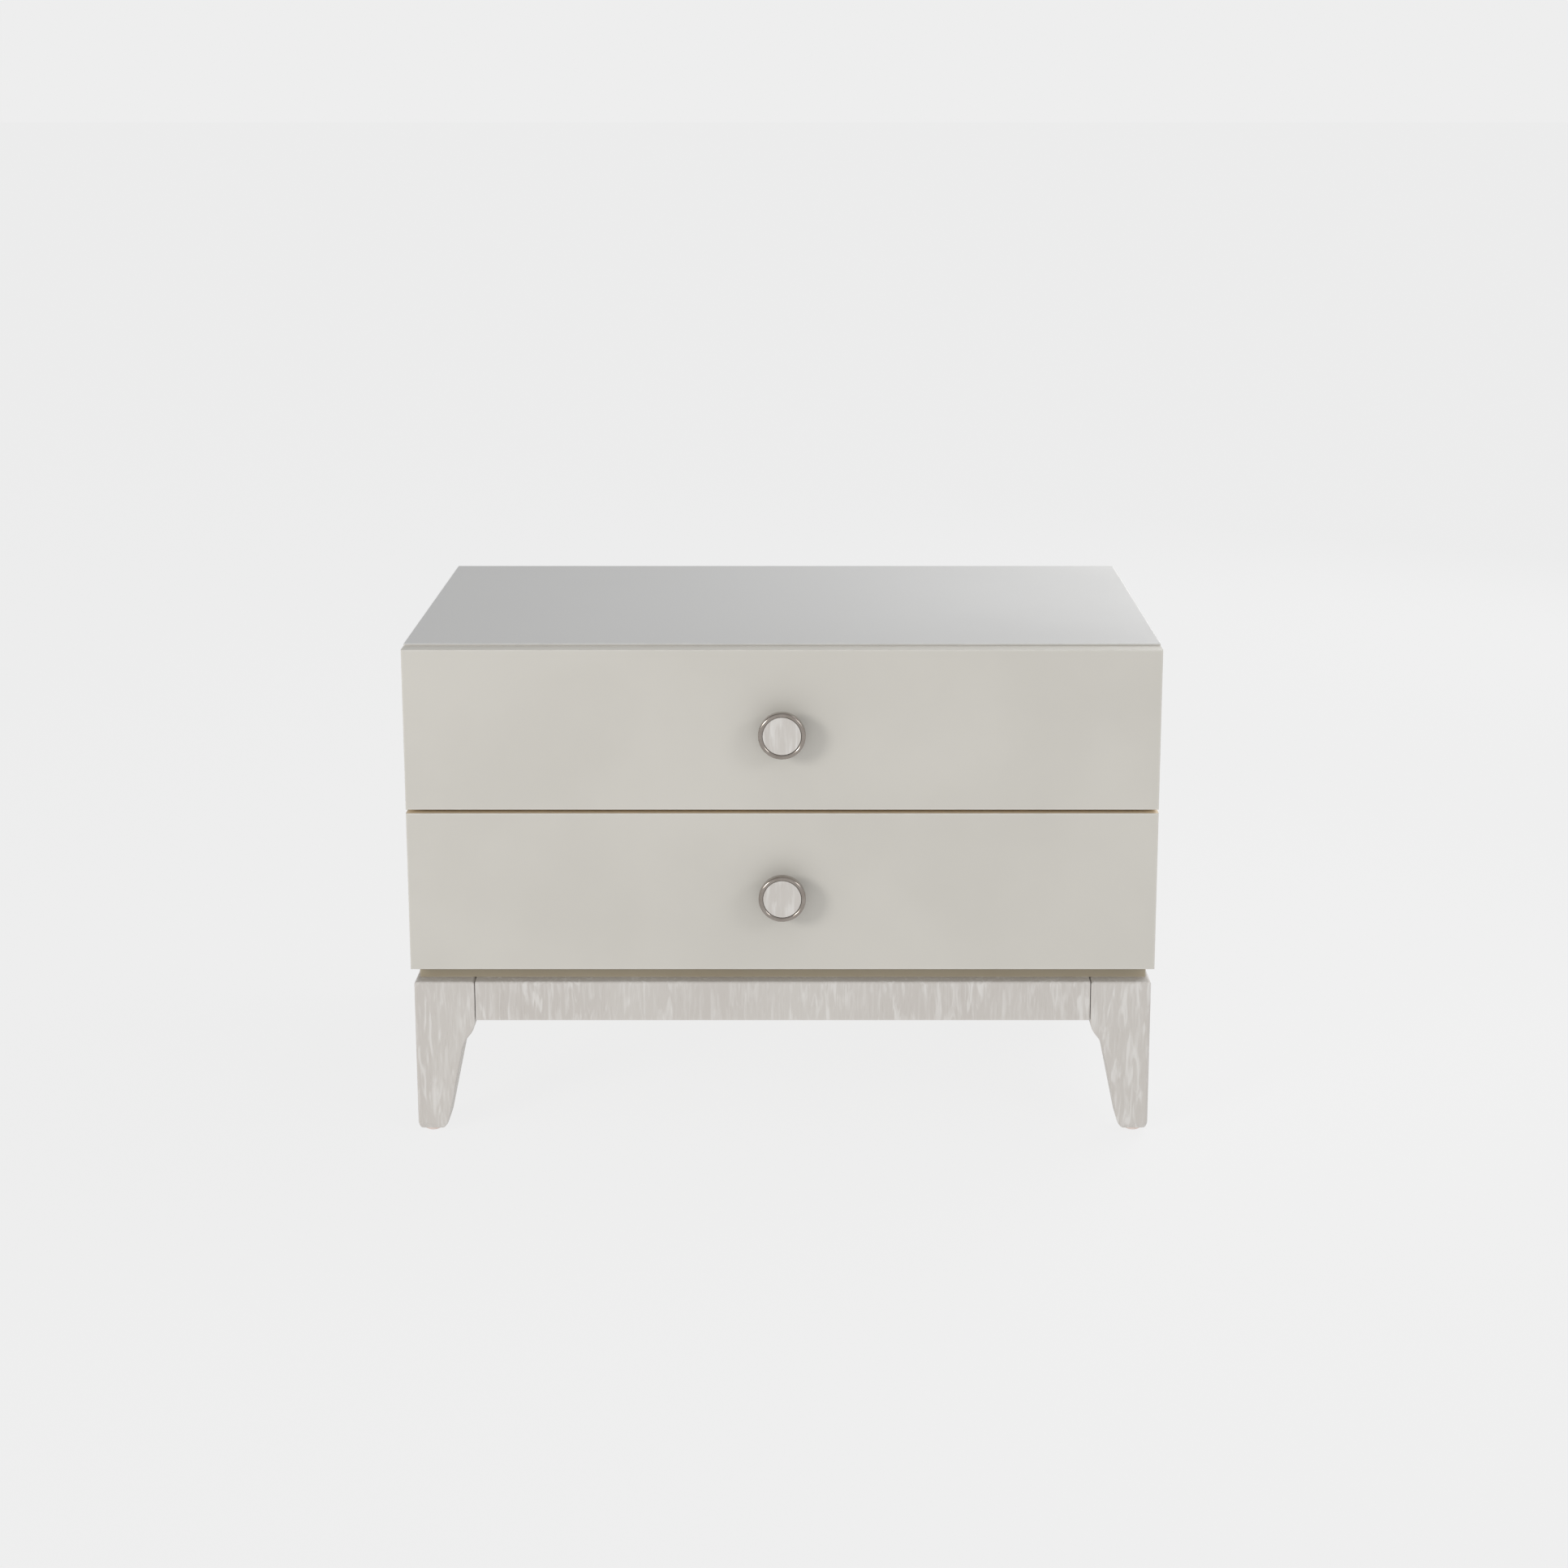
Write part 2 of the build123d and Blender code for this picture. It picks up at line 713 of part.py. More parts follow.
def dovetails(x0, x1, drawer, mode):
    """The tails at both ends of one box side, between x0 and x1."""
    low = front_zs[drawer] + box_rise
    for shoulder, end in (
        (box_front_inner_y, front_back_y), (box_back_inner_y, box_back_y),
    ):
        with BuildSketch(Plane.YZ.offset(x0)) as ends:
            for n in range(tails):
                mid = low + tail_pitch * (n + 0.5)
                Polygon(
                    (shoulder, mid - tail_narrow), (end, mid - tail_wide),
                    (end, mid + tail_wide), (shoulder, mid + tail_narrow), align=None,
                )
        extrude(ends.sketch, amount=x1 - x0, mode=mode)


def knob():
    """A turned metal knob whose foot stands on z = 0, with a recess for the inlay."""
    with BuildPart() as body:
        with BuildSketch(Plane.XZ) as outline:
            with BuildLine():
                Polyline(
                    (0, 0), (knob_foot_radius, 0), (knob_foot_radius, knob_foot_height),
                    (knob_neck_radius, knob_foot_height + 2), (knob_neck_radius, neck_end - 2),
                    (knob_neck_radius + 3, neck_end),
                    (knob_radius, neck_end + knob_back_drop), (knob_radius, knob_reach),
                    (0, knob_reach), close=True,
                )
            make_face()
        revolve(axis=Axis.Z)
        seat = inlay_thickness + inlay_sink
        with Locations((0, 0, knob_reach - seat)):
            Cylinder(
                knob_radius - bezel, seat,
                align=(Align.CENTER, Align.CENTER, Align.MIN), mode=Mode.SUBTRACT,
            )
        crest = body.edges().filter_by(GeomType.CIRCLE).group_by(Axis.Z)[-1]
        fillet(crest, bezel_round)
        Cylinder(
            knob_screw_radius + screw_play, knob_screw_bite + screw_play,
            align=(Align.CENTER, Align.CENTER, Align.MIN), mode=Mode.SUBTRACT,
        )
    return body.part


knob_body = knob()
with BuildPart() as inlay:
    with Locations((0, 0, knob_reach - inlay_sink - inlay_thickness)):
        Cylinder(
            knob_radius - bezel - inlay_play, inlay_thickness,
            align=(Align.CENTER, Align.CENTER, Align.MIN),
        )
    fillet(inlay.edges().group_by(Axis.Z)[-1], 0.4)
knob_screw = pan_head(
    knob_screw_radius, pan_head_radius, pan_head_height, knob_screw_length
)

for drawer, low in front_zs.items():
    box_low = low + box_rise
    box_high = box_low + box_height
    knob_place = looking((0, face_y, knob_z(drawer)), (0, -1, 0))
    knob_screw_place = looking((0, box_front_inner_y, knob_z(drawer)), (0, 1, 0))

    with BuildPart() as front:
        board(-width / 2, width / 2, face_y, front_back_y, low, low + front_height)
        fillet(front.faces().sort_by(Axis.Y)[0].edges(), front_round)
        drill(front_screw_hole, front_screws(drawer))
        drill(knob_screw_hole, [knob_screw_place])
    save(front.part, f"{drawer}_front")

    for name, y0, y1 in (
        ("front", front_back_y, box_front_inner_y), ("back", box_back_inner_y, box_back_y),
    ):
        with BuildPart() as wall:
            board(-box_half, box_half, y0, y1, box_low, box_high)
            dovetails(-box_half, -box_inner_half, drawer, Mode.SUBTRACT)
            dovetails(box_inner_half, box_half, drawer, Mode.SUBTRACT)
            box_bottom_board(drawer, bottom_play, Mode.SUBTRACT)
            if name == "front":
                drill(front_screw_hole, front_screws(drawer))
                drill(knob_screw_hole, [knob_screw_place])
        save(wall.part, f"{drawer}_box_{name}")

    for side, name in ((-1, "left"), (1, "right")):
        x0, x1 = sorted((side * box_inner_half, side * box_half))
        with BuildPart() as wall:
            board(x0, x1, box_front_inner_y, box_back_inner_y, box_low, box_high)
            rim = wall.edges().filter_by(Axis.Y).group_by(Axis.Z)[-1]
            fillet(rim, box_round)
            dovetails(x0, x1, drawer, Mode.ADD)
            box_bottom_board(drawer, bottom_play, Mode.SUBTRACT)
            drill(wood_screw_hole, box_slide_screws(side, drawer))
        save(wall.part, f"{drawer}_box_{name}")

    with BuildPart() as bottom:
        box_bottom_board(drawer, 0)
    save(bottom.part, f"{drawer}_box_bottom")

    save(knob_place * knob_body, f"{drawer}_knob")
    save(knob_place * inlay.part, f"{drawer}_knob_inlay")
    save(group_of(knob_screw, [knob_screw_place]), f"{drawer}_knob_screw")
    save(group_of(front_screw, front_screws(drawer)), f"{drawer}_front_screws")
    channel_screws = box_slide_screws(-1, drawer) + box_slide_screws(1, drawer)
    save(group_of(wood_screw, channel_screws), f"{drawer}_slide_screws")
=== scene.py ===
import math

import bmesh
import bpy
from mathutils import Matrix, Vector


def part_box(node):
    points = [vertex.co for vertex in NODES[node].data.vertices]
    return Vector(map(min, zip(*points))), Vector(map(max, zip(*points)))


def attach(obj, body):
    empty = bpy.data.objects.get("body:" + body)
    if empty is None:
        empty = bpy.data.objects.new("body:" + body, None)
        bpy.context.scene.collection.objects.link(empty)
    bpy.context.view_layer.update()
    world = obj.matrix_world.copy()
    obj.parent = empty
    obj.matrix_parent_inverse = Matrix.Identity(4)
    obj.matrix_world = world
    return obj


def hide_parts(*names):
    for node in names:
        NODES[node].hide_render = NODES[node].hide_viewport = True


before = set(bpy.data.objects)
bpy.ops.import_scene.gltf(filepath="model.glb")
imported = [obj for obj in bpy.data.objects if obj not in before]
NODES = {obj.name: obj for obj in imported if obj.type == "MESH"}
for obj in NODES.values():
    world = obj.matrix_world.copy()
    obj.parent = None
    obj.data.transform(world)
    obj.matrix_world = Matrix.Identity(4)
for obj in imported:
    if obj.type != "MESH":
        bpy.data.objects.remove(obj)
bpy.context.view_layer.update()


# ---------------------------------------------------------------- shader maths
NOISE_MIDDLE = (0.3, 0.7)  # where most of a noise's values lie


class Wire:
    """A number or vector running between nodes. Expressions on it add Math nodes."""

    def __init__(self, finish, socket):
        self.finish = finish
        self.socket = socket

    def math(self, operation, *others):
        values = {0: self}
        values.update({i + 1: other for i, other in enumerate(others)})
        return self.finish.add("ShaderNodeMath", {"operation": operation}, values)

    def __add__(self, other):
        return self.math("ADD", other)

    __radd__ = __add__

    def __mul__(self, other):
        return self.math("MULTIPLY", other)

    __rmul__ = __mul__

    def __sub__(self, other):
        return self.math("SUBTRACT", other)

    def __rsub__(self, other):
        return self.finish.add("ShaderNodeMath", {"operation": "SUBTRACT"}, {0: other, 1: self})

    def __abs__(self):
        return self.math("ABSOLUTE")

    def least(self, other):
        return self.math("MINIMUM", other)

    def most(self, other):
        return self.math("MAXIMUM", other)


class Network:
    """Nodes that feed one shader."""

    def __init__(self, tree, shader):
        self.tree = tree
        self.shader = tree.nodes[shader]

    def add(self, kind, settings=None, sockets=None, out=0):
        """Adds a node: its settings first, then the values or links of its sockets."""
        node = self.tree.nodes.new(kind)
        for key, value in (settings or {}).items():
            setattr(node, key, value)
        for key, value in (sockets or {}).items():
            if isinstance(value, Wire):
                self.tree.links.new(value.socket, node.inputs[key])
            else:
                node.inputs[key].default_value = value
        return Wire(self, node.outputs[out])

    def feed(self, socket, value):
        self.tree.links.new(value.socket, self.shader.inputs[socket])

    def split(self, value):
        """The x, y and z of a vector."""
        first = self.add("ShaderNodeSeparateXYZ", None, {0: value})
        return [Wire(self, socket) for socket in first.socket.node.outputs]

    def smooth(self, value, low, high, to_low=0.0, to_high=1.0):
        """Value moved smoothly from one range to another, and held at both ends."""
        return self.add(
            "ShaderNodeMapRange", {"interpolation_type": "SMOOTHSTEP"},
            {0: value, 1: low, 2: high, 3: to_low, 4: to_high},
        )

    def spread(self, value, to_low=0.0, to_high=1.0):
        """The middle of a noise's range, spread over a whole range."""
        return self.smooth(value, *NOISE_MIDDLE, to_low, to_high)

    def blend(self, share, first, second):
        """First colour where share is 0, second where it is 1."""
        return self.add(
            "ShaderNodeMix", {"data_type": "RGBA"}, {0: share, 6: first, 7: second}, out=2
        )


class Finish(Network):
    """One material, built node by node on a Principled shader."""

    def __init__(self, name, **constants):
        self.material = bpy.data.materials.new(name)
        self.material.use_nodes = True
        super().__init__(self.material.node_tree, "Principled BSDF")
        for socket, value in constants.items():
            self.shader.inputs[socket.replace("_", " ")].default_value = value
        self.place = None

    def point(self, scale=(1, 1, 1), centre=(0, 0, 0)):
        """The place on the piece, in metres, moved and stretched for a pattern."""
        if self.place is None:
            self.place = self.add("ShaderNodeTexCoord", out=3)
        moved = [-c * s for c, s in zip(centre, scale)]
        return self.add("ShaderNodeMapping", None, {0: self.place, 1: moved, 3: scale})

    def grain(self, along, across, axis, centre=(0, 0, 0)):
        """The place stretched for a pattern that runs along one axis of the piece."""
        return self.point([along if i == axis else across for i in range(3)], centre)

    def noise(self, where, size=1.0, detail=3.0, rough=0.5, warp=0.0):
        return self.add(
            "ShaderNodeTexNoise", {"noise_dimensions": "3D"},
            {"Vector": where, "Scale": size, "Detail": detail, "Roughness": rough,
             "Distortion": warp},
        )

    def edge(self, low, high, width):
        """1 along the arrises of a box-shaped piece, fading to 0 over a width."""
        gaps = []
        for place, start, end in zip(self.split(self.point()), low, high):
            gaps.append((end - start) / 2 - abs(place - (start + end) / 2))
        a, b, c = gaps
        second = a.least(b).most(a.most(b).least(c))
        return self.smooth(second, 0.0, width, 1.0, 0.0)

    def bump(self, height, depth, strength=1.0):
        return self.add(
            "ShaderNodeBump", None, {"Strength": strength, "Distance": depth, "Height": height}
        )


def rgb(red, green, blue):
    """An sRGB colour of 0 to 255 as the linear colour that shaders take."""
    def line(value):
        value /= 255
        return value / 12.92 if value <= 0.04045 else ((value + 0.055) / 1.055) ** 2.4
    return (line(red), line(green), line(blue), 1.0)


# ---------------------------------------------------------------- finishes
WIDE, DEEP, UPRIGHT = 0, 1, 2  # the axes that grain runs along

# colours; a pair is two shades that a slow pattern blends
LIMED_BASE = (rgb(187, 182, 177), rgb(193, 189, 184))
LIMED_FLECK = rgb(214, 212, 209)
LIMED_PORE = rgb(163, 155, 146)
# painted highlight: the paler colour of the limed wood's arrises
LIMED_ARRIS_HIGHLIGHT = rgb(210, 206, 200)
BOARD_BASE = (rgb(205, 188, 161), rgb(217, 203, 179))
BOARD_LINE = rgb(189, 167, 135)
BOARD_PORE = rgb(158, 134, 105)
# painted highlight: the paler colour of the boards' arrises
BOARD_ARRIS_HIGHLIGHT = rgb(228, 215, 192)
BARE_EDGE = rgb(222, 207, 182)
NICKEL = (rgb(156, 148, 141), rgb(145, 136, 128))
ZINC = (rgb(186, 188, 190), rgb(206, 205, 200))
ZINC_LINE = rgb(160, 162, 164)
BEARING_STEEL = (rgb(200, 200, 200), rgb(222, 221, 218))
NYLON = (rgb(222, 205, 197), rgb(212, 194, 185))
# darker tone for patches near the floor
NYLON_DARK_BOTTOM = rgb(160, 148, 140)
CLEAR_PAD = (rgb(196, 196, 192), rgb(222, 222, 218))

# metres
LACQUER_ARRIS = 0.0022
LIMED_ARRIS_WIDTH = 0.0035
BOARD_ARRIS_WIDTH = 0.0015
TOP_BLEND = (0.0016, 0.0004)  # below the upper face, from case tone to the painted reflection grey of the top
BARE_BLEND = (0.0001, 0.0004)  # from the bare edge
BARE_START = (0.0010, 0.0020)  # behind the front face
DARK_BOTTOM_HEIGHT = 0.002  # of the glides, from the floor


def satin_lacquer(name, low, high, shades, bare_z=None, top=None):
    """Sprayed satin lacquer: faint mottling, fine spray texture, and paler arrises as a painted
    highlight broken up like wear.

    The edge at height bare_z is sealed wood behind its front arris. Where top is
    given, the upper face takes those shades, a painted reflection that greys it.
    """
    f = Finish(name, Specular_IOR_Level=0.5)
    mottle = f.noise(f.point(), 5.0, 4.0, 0.55)
    cloud = f.noise(f.point((1, 1, 1), (3.1, 0.7, 1.9)), 1.7, 2.0, 0.5)
    spray = f.noise(f.point(), 420.0, 2.0, 0.6)
    # painted highlight: a narrow paler band along the outer edges, broken up by noise like wear
    arris = f.edge(low, high, LACQUER_ARRIS)
    arris = arris * f.smooth(f.noise(f.point(), 60.0, 3.0, 0.6), 0.30, 0.62, 0.45, 1.0)
    _, back, up = f.split(f.point())

    # the third shade goes on the arrises as a painted highlight, broken up like wear
    def coat(plain, other, highlight_and_wear):
        tone = f.blend(f.spread(mottle), plain, other)
        tone = f.blend(f.spread(cloud, 0.0, 0.5), tone, plain)
        return f.blend(arris * 0.55, tone, highlight_and_wear)

    tone = coat(*shades)
    if top is not None:
        # painted reflection: the upper face takes greyer shades than the same lacquer on the
        # sides
        top_reflection_share = f.smooth(up, *[high[2] - below for below in TOP_BLEND])
        tone = f.blend(top_reflection_share, tone, coat(*top))
    if bare_z is not None:
        bare = f.smooth(abs(up - bare_z), *BARE_BLEND, 1.0, 0.0)
        bare = bare * f.smooth(back - low[1], *BARE_START)
        tone = f.blend(bare, tone, BARE_EDGE)
    f.feed("Base Color", tone)
    f.feed("Roughness", f.smooth(mottle, 0.25, 0.75, 0.40, 0.47) + (spray - 0.5) * 0.05)
    f.feed("Normal", f.bump(spray, 0.00003, 0.35))
    return f.material


def limed_wood(name, low, high):
    """Pale limed wood: soft upright flecks and fine pores, under a matt finish."""
    f = Finish(name, Specular_IOR_Level=0.45)
    fleck = f.noise(f.grain(27, 165, UPRIGHT), 1.0, 2.0, 0.45, 0.9)
    streak = f.noise(f.grain(30, 330, UPRIGHT, (0.2, 0.6, 0.4)), 1.0, 2.0, 0.5, 0.5)
    group = f.noise(f.grain(12, 34, UPRIGHT, (0.3, 0.1, 0.7)), 1.0, 2.0, 0.5, 0.4)
    pore = f.noise(f.grain(60, 900, UPRIGHT), 1.0, 2.0, 0.6, 0.1)
    drift = f.noise(f.grain(3, 9, UPRIGHT, (1.0, 0.4, 0.2)), 1.0, 3.0, 0.5)
    pale = f.smooth(fleck, 0.46, 0.70) * f.smooth(group, 0.35, 0.62, 0.30, 1.0)
    pale = (pale + f.smooth(streak, 0.50, 0.72, 0.0, 0.35)).least(1.0)
    dark = f.smooth(pore, 0.56, 0.74) * (1 - pale)
    arris = f.edge(low, high, LIMED_ARRIS_WIDTH)
    base = f.blend(f.spread(drift), *LIMED_BASE)
    tone = f.blend(pale * 0.66, base, LIMED_FLECK)
    tone = f.blend(dark * 0.20, tone, LIMED_PORE)
    # painted highlight: paler along the arrises
    tone = f.blend(arris * 0.25, tone, LIMED_ARRIS_HIGHLIGHT)
    f.feed("Base Color", tone)
    f.feed("Roughness", f.spread(drift, 0.50, 0.58) + pale * 0.05)
    f.feed("Normal", f.bump(pale * 0.5 - dark, 0.00010, 0.45))
    return f.material


def drawer_wood(name, low, high, axis):
    """Clear-finished pale board with growth lines along one axis."""
    f = Finish(name, Specular_IOR_Level=0.4)
    line = f.noise(f.grain(2.2, 150, axis), 1.0, 4.0, 0.6, 0.6)
    broad = f.noise(f.grain(0.9, 26, axis, (0.2, 0.5, 0.1)), 1.0, 2.0, 0.5, 0.8)
    pore = f.noise(f.grain(60, 1400, axis), 1.0, 1.0, 0.5)
    arris = f.edge(low, high, BOARD_ARRIS_WIDTH)
    tone = f.blend(f.spread(broad), *BOARD_BASE)
    tone = f.blend(f.smooth(line, 0.48, 0.68, 0.0, 0.5), tone, BOARD_LINE)
    tone = f.blend(f.smooth(pore, 0.6, 0.75, 0.0, 0.25), tone, BOARD_PORE)
    # painted highlight: paler along the arrises
    tone = f.blend(arris * 0.2, tone, BOARD_ARRIS_HIGHLIGHT)
    f.feed("Base Color", tone)
    f.feed("Roughness", f.spread(line, 0.52, 0.62))
    f.feed("Normal", f.bump(line + pore * 0.4, 0.00008, 0.4))
    return f.material


def polished_nickel(name):
    """Warm polished metal with hairline polishing marks and a few dull spots."""
    f = Finish(name, Metallic=1.0, Coat_Weight=0.5, Coat_Roughness=0.12)
    haze = f.noise(f.point(), 90.0, 3.0, 0.6)
    marks = f.noise(f.point((2600, 200, 2600)), 1.0, 2.0, 0.5)
    tone = f.blend(f.smooth(haze, 0.35, 0.7), *NICKEL)
    f.feed("Base Color", tone)
    f.feed("Roughness", f.smooth(haze, 0.35, 0.75, 0.15, 0.22))
    f.feed("Normal", f.bump(marks, 0.000004, 0.25))
    return f.material


def zinc_steel(name):
    """Bright zinc on rolled steel: lengthwise drawing lines and cloudy passivation."""
    f = Finish(name, Metallic=1.0)
    lines = f.noise(f.point((1200, 12, 1200)), 1.0, 2.0, 0.6)
    cloud = f.noise(f.point(), 70.0, 3.0, 0.6)
    tone = f.blend(f.spread(cloud), *ZINC)
    tone = f.blend(f.smooth(lines, 0.55, 0.75, 0.0, 0.4), tone, ZINC_LINE)
    f.feed("Base Color", tone)
    f.feed("Roughness", f.spread(cloud, 0.26, 0.38) + lines * 0.06)
    f.feed("Normal", f.bump(lines, 0.00001, 0.4))
    return f.material


def bright_steel(name):
    """Polished bearing steel."""
    f = Finish(name, Metallic=1.0)
    cloud = f.noise(f.point(), 400.0, 2.0, 0.5)
    f.feed("Base Color", f.blend(cloud, *BEARING_STEEL))
    f.feed("Roughness", f.spread(cloud, 0.08, 0.16))
    return f.material


def moulded_nylon(name):
    """Pale pinkish moulded plastic, darker in patches within 2 mm of the floor."""
    f = Finish(name, Specular_IOR_Level=0.45)
    patches = f.noise(f.point((300, 300, 900)), 1.0, 4.0, 0.65)
    fine = f.noise(f.point(), 900.0, 2.0, 0.5)
    low_down = f.smooth(f.split(f.point())[2], 0.0, DARK_BOTTOM_HEIGHT, 1.0, 0.0)
    tone = f.blend(f.smooth(patches, 0.4, 0.7), *NYLON)
    # darker in patches within 2 mm of the floor
    tone = f.blend(low_down * f.smooth(patches, 0.45, 0.65), tone, NYLON_DARK_BOTTOM)
    f.feed("Base Color", tone)
    f.feed("Roughness", f.spread(patches, 0.42, 0.60))
    f.feed("Normal", f.bump(fine, 0.00002, 0.4))
    return f.material


def soft_pad(name):
    """Cloudy clear soft plastic of stick-on bumpers."""
    f = Finish(name, Specular_IOR_Level=0.4)
    cloud = f.noise(f.point(), 500.0, 3.0, 0.6)
    f.feed("Base Color", f.blend(cloud, *CLEAR_PAD))
    f.feed("Roughness", f.spread(cloud, 0.30, 0.45))
    f.feed("Normal", f.bump(cloud, 0.00002, 0.3))
    return f.material


# ---------------------------------------------------------------- finishes on CAD nodes
# lacquer shades: plain, mottled, and a paler painted highlight at the arrises, broken up like
# wear
FRONT_GREIGE = (rgb(191, 188, 181), rgb(196, 193, 186), rgb(214, 212, 206))
# painted reflection: the top's upper face is greyer than the same lacquer on the sides
TOP_PAINTED_REFLECTION = (rgb(190, 190, 189), rgb(194, 194, 193), rgb(212, 212, 210))
# painted shade: darker lacquer for the recessed plinth, which sits in shade under the drawers
PLINTH_PAINTED_SHADE = (rgb(163, 152, 131), rgb(169, 159, 139), rgb(184, 175, 157))

# the case's own box: its boards meet flush, so only its outer edges are arrises
top_low, top_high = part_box("top_panel")
case_low = (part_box("case_side_left")[0][0], top_low[1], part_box("case_bottom")[0][2])
case_high = (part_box("case_side_right")[1][0], top_high[1], top_high[2])


def finish_for(node, low, high):
    name = "finish_" + node
    if node.endswith(("screws", "screw", "bolts")) or "channel" in node or "cage" in node:
        return zinc_steel(name)
    if node.endswith("balls"):
        return bright_steel(name)
    if node.endswith("_knob"):
        return polished_nickel(name)
    if node.endswith("_inlay") or node.startswith(("leg_", "apron_")):
        return limed_wood(name, low, high)
    if node == "floor_glides":
        return moulded_nylon(name)
    if node == "bumpers":
        return soft_pad(name)
    if "_box_" in node:
        side = node.endswith(("_left", "_right"))
        return drawer_wood(name, low, high, DEEP if side else WIDE)
    if node in ("corner_braces", "back_panel", "divider"):
        return drawer_wood(name, low, high, WIDE)
    if node == "upper_front":
        return satin_lacquer(name, low, high, FRONT_GREIGE, bare_z=low[2])
    if node == "lower_front":
        return satin_lacquer(name, low, high, FRONT_GREIGE, bare_z=high[2])
    if node.startswith("plinth"):
        # painted shade: the plinth takes darker lacquer shades
        return satin_lacquer(name, low, high, PLINTH_PAINTED_SHADE)
    # case boards; the top's upper face takes a painted reflection grey
    return satin_lacquer(name, case_low, case_high, FRONT_GREIGE, top=TOP_PAINTED_REFLECTION)


for node, piece in NODES.items():
    material = finish_for(node, *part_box(node))
    piece.data.materials.clear()
    piece.data.materials.append(material)


# ---------------------------------------------------------------- turned knobs
def turned(name, profile, centre, steps=96):
    """A closed lathe shape about an axis that points to the front, from (radius, out)."""
    mesh = bmesh.new()
    points = [mesh.verts.new((radius, -out, 0)) for radius, out in profile]
    edges = [mesh.edges.new(pair) for pair in zip(points, points[1:])]
    bmesh.ops.spin(
        mesh, geom=points + edges, cent=(0, 0, 0), axis=(0, 1, 0), dvec=(0, 0, 0),
        angle=math.tau, steps=steps, use_merge=True, use_duplicate=False,
    )
    bmesh.ops.remove_doubles(mesh, verts=mesh.verts, dist=1e-6)
    bmesh.ops.recalc_face_normals(mesh, faces=mesh.faces)
    bmesh.ops.translate(mesh, vec=centre, verts=mesh.verts)
    data = bpy.data.meshes.new(name)
    mesh.to_mesh(data)
    mesh.free()
    for face in data.polygons:
        face.use_smooth = True
    piece = bpy.data.objects.new(name, data)
    bpy.context.scene.collection.objects.link(piece)
    return piece


def arc(middle, radius, start, end, steps):
    """Points (radius, out) round a quarter or half circle, angles in degrees."""
    return [
        (middle[0] + radius * math.cos(math.radians(start + (end - start) * i / steps)),
         middle[1] + radius * math.sin(math.radians(start + (end - start) * i / steps)))
        for i in range(steps + 1)
    ]


BEZEL = 0.0047  # width of the rim round the inlay
INLAY_SEAT = 0.0042  # below the crest of the rim


def knob_profile(rim, reach):
    """A knob from the axis at its foot to the axis at the inlay's seat, as (radius, out)."""
    half = BEZEL / 2
    seat = reach - INLAY_SEAT
    foot = [(0.0, 0.0), (0.0102, 0.0)] + arc((0.0098, 0.0012), 0.0007, -60, 80, 6)
    neck = arc((0.0113, 0.0057), 0.0038, -110, -180, 8)
    neck += arc((0.0125, 0.0105), 0.0050, 180, 120, 8)
    back = [(0.0160, 0.0155), (0.0215, 0.0166)]
    back += arc((rim - 0.0020, 0.0190), 0.0020, -70, 0, 8)
    crest = arc((rim - half, reach - half), half, 0, 180, 24)
    return foot + neck + back + crest + [(rim - BEZEL, seat), (0.0, seat)]


for drawer in ("upper", "lower"):
    low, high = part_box(drawer + "_knob")
    centre = Vector(((low[0] + high[0]) / 2, high[1], (low[2] + high[2]) / 2))
    profile = knob_profile(rim=(high[0] - low[0]) / 2, reach=high[1] - low[1])
    knob = turned(drawer + "_turned_knob", profile, centre)
    knob.data.materials.append(polished_nickel("finish_" + drawer + "_turned_knob"))
    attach(knob, drawer + "_drawer")
    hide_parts(drawer + "_knob")


# ---------------------------------------------------------------- studio
BACKDROP = rgb(238, 238, 238)
CEILING_FRONT = rgb(219, 219, 219)
CEILING_BEHIND = rgb(122, 122, 124)
FLOOR_GLOW = 0.945
FLOOR_DROP = 0.0005  # below the feet, so that the two don't flicker
FLOOR_HALF = 60.0  # far enough that its edge meets the backdrop


def floor_finish():
    """A lit sweep: mostly its own even glow, with a little of the shadows on it."""
    f = Finish(
        "floor_sweep", Specular_IOR_Level=0.0, Roughness=1.0, Emission_Strength=FLOOR_GLOW,
        Emission_Color=BACKDROP,
    )
    cloud = f.noise(f.point(), 0.6, 2.0, 0.5)
    f.feed("Base Color", f.blend(cloud, rgb(71, 71, 71), rgb(73, 73, 73)))
    return f.material


floor_mesh = bmesh.new()
bmesh.ops.create_grid(floor_mesh, x_segments=1, y_segments=1, size=FLOOR_HALF)
floor_data = bpy.data.meshes.new("floor")
floor_mesh.to_mesh(floor_data)
floor_mesh.free()
floor = bpy.data.objects.new("floor", floor_data)
floor.location = (0, 0, -FLOOR_DROP)
floor.data.materials.append(floor_finish())
bpy.context.scene.collection.objects.link(floor)


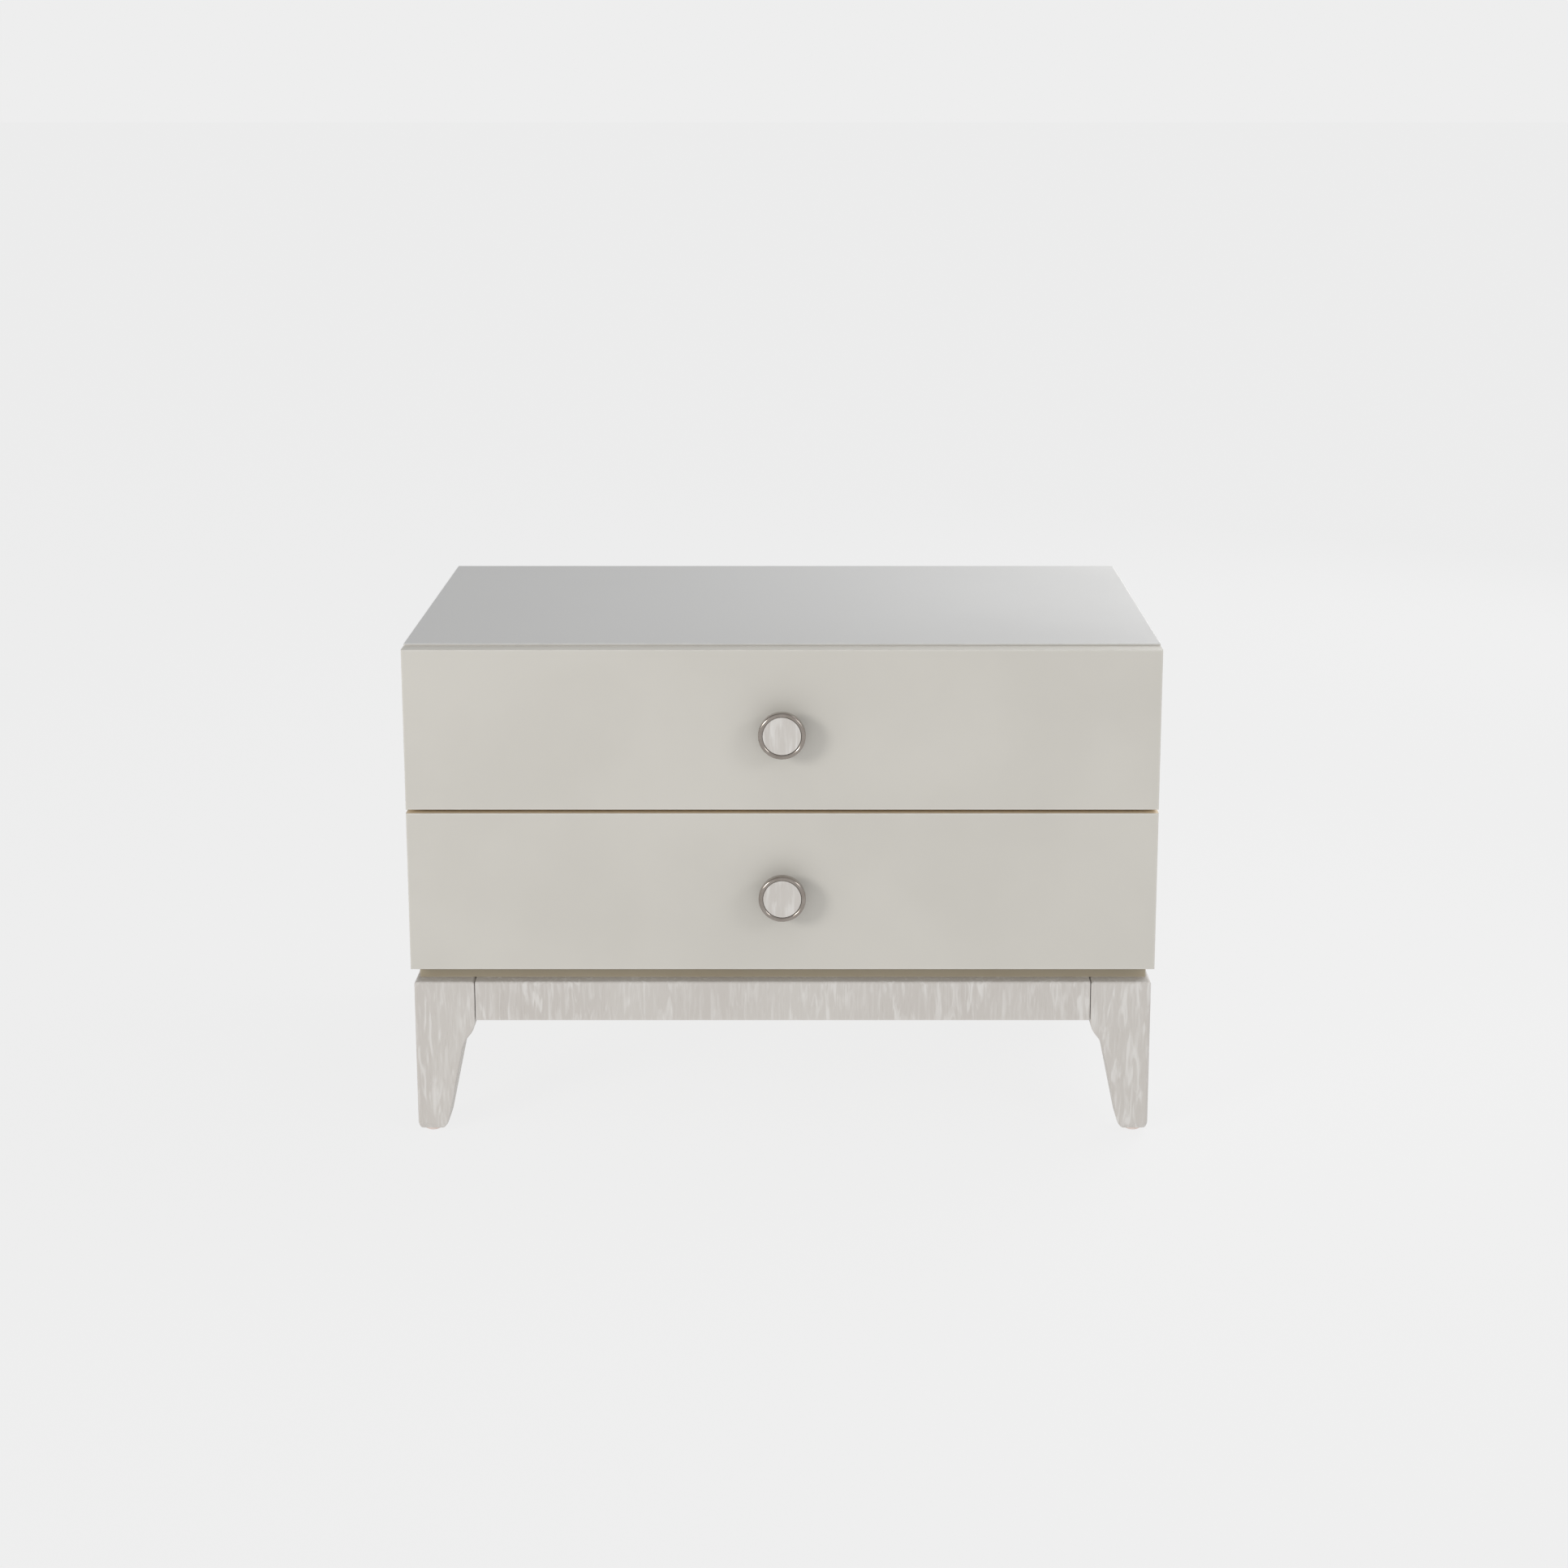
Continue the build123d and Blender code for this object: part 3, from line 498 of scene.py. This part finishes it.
def soft_light(name, place, target, size, power, warmth=(1.0, 1.0, 1.0)):
    """A rectangular lamp, hidden from the camera, aimed at a place. Metres and watts."""
    light = bpy.data.lights.new(name, "AREA")
    light.shape = "RECTANGLE"
    light.size, light.size_y = size
    light.energy = power
    light.color = warmth
    lamp = bpy.data.objects.new(name, light)
    lamp.location = place
    lamp.rotation_euler = (Vector(target) - Vector(place)).to_track_quat("-Z", "Y").to_euler()
    lamp.visible_camera = False
    bpy.context.scene.collection.objects.link(lamp)


middle = Vector((0, 0, 0.3))
DAYLIGHT = (1.0, 0.985, 0.96)
soft_light("key_left", (-3.0, -3.3, 1.75), middle, (1.2, 1.2), 60, DAYLIGHT)
soft_light("fill_right", (2.6, -2.4, 1.9), middle, (1.0, 1.0), 16)
soft_light("back_right", (1.9, 2.6, 1.5), (0.2, 0, 0.5), (1.8, 1.4), 22)
soft_light("top_right", (0.8, 0.35, 1.3), (0.3, 0, 0.5), (0.7, 0.7), 7)


def studio():
    """Surroundings as pale as the floor, with a dimmer ceiling, dimmest behind the piece."""
    world = bpy.data.worlds.new("studio")
    world.use_nodes = True
    room = Network(world.node_tree, "Background")
    across, back, up = room.split(room.add("ShaderNodeTexCoord"))
    ceiling = room.blend(
        room.smooth(back - across * 0.3, -0.5, 0.4), CEILING_FRONT, CEILING_BEHIND
    )
    room.feed("Color", room.blend(room.smooth(up, 0.24, 0.55), BACKDROP, ceiling))
    return world


bpy.context.scene.world = studio()
bpy.context.scene.view_settings.view_transform = "Standard"

# ---------------------------------------------------------------- camera
CAMERA_ACROSS, CAMERA_OUT, CAMERA_HEIGHT = 0.027, 2.65, 1.1327  # metres; out from the fronts
CAMERA_TILT = 11.4  # degrees below level
FOCAL_LENGTH, SENSOR = 59.44, 36.0  # millimetres
SHIFT_ACROSS, SHIFT_UP = -0.0151, -0.12  # shares of the frame

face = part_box("upper_front")[0][1]
lens = bpy.data.cameras.new("camera")
lens.lens = FOCAL_LENGTH
lens.sensor_width = SENSOR
lens.shift_x = SHIFT_ACROSS
lens.shift_y = SHIFT_UP
camera = bpy.data.objects.new("camera", lens)
camera.location = (CAMERA_ACROSS, face - CAMERA_OUT, CAMERA_HEIGHT)
camera.rotation_euler = (math.radians(90 - CAMERA_TILT), 0, 0)
bpy.context.scene.collection.objects.link(camera)
bpy.context.scene.camera = camera
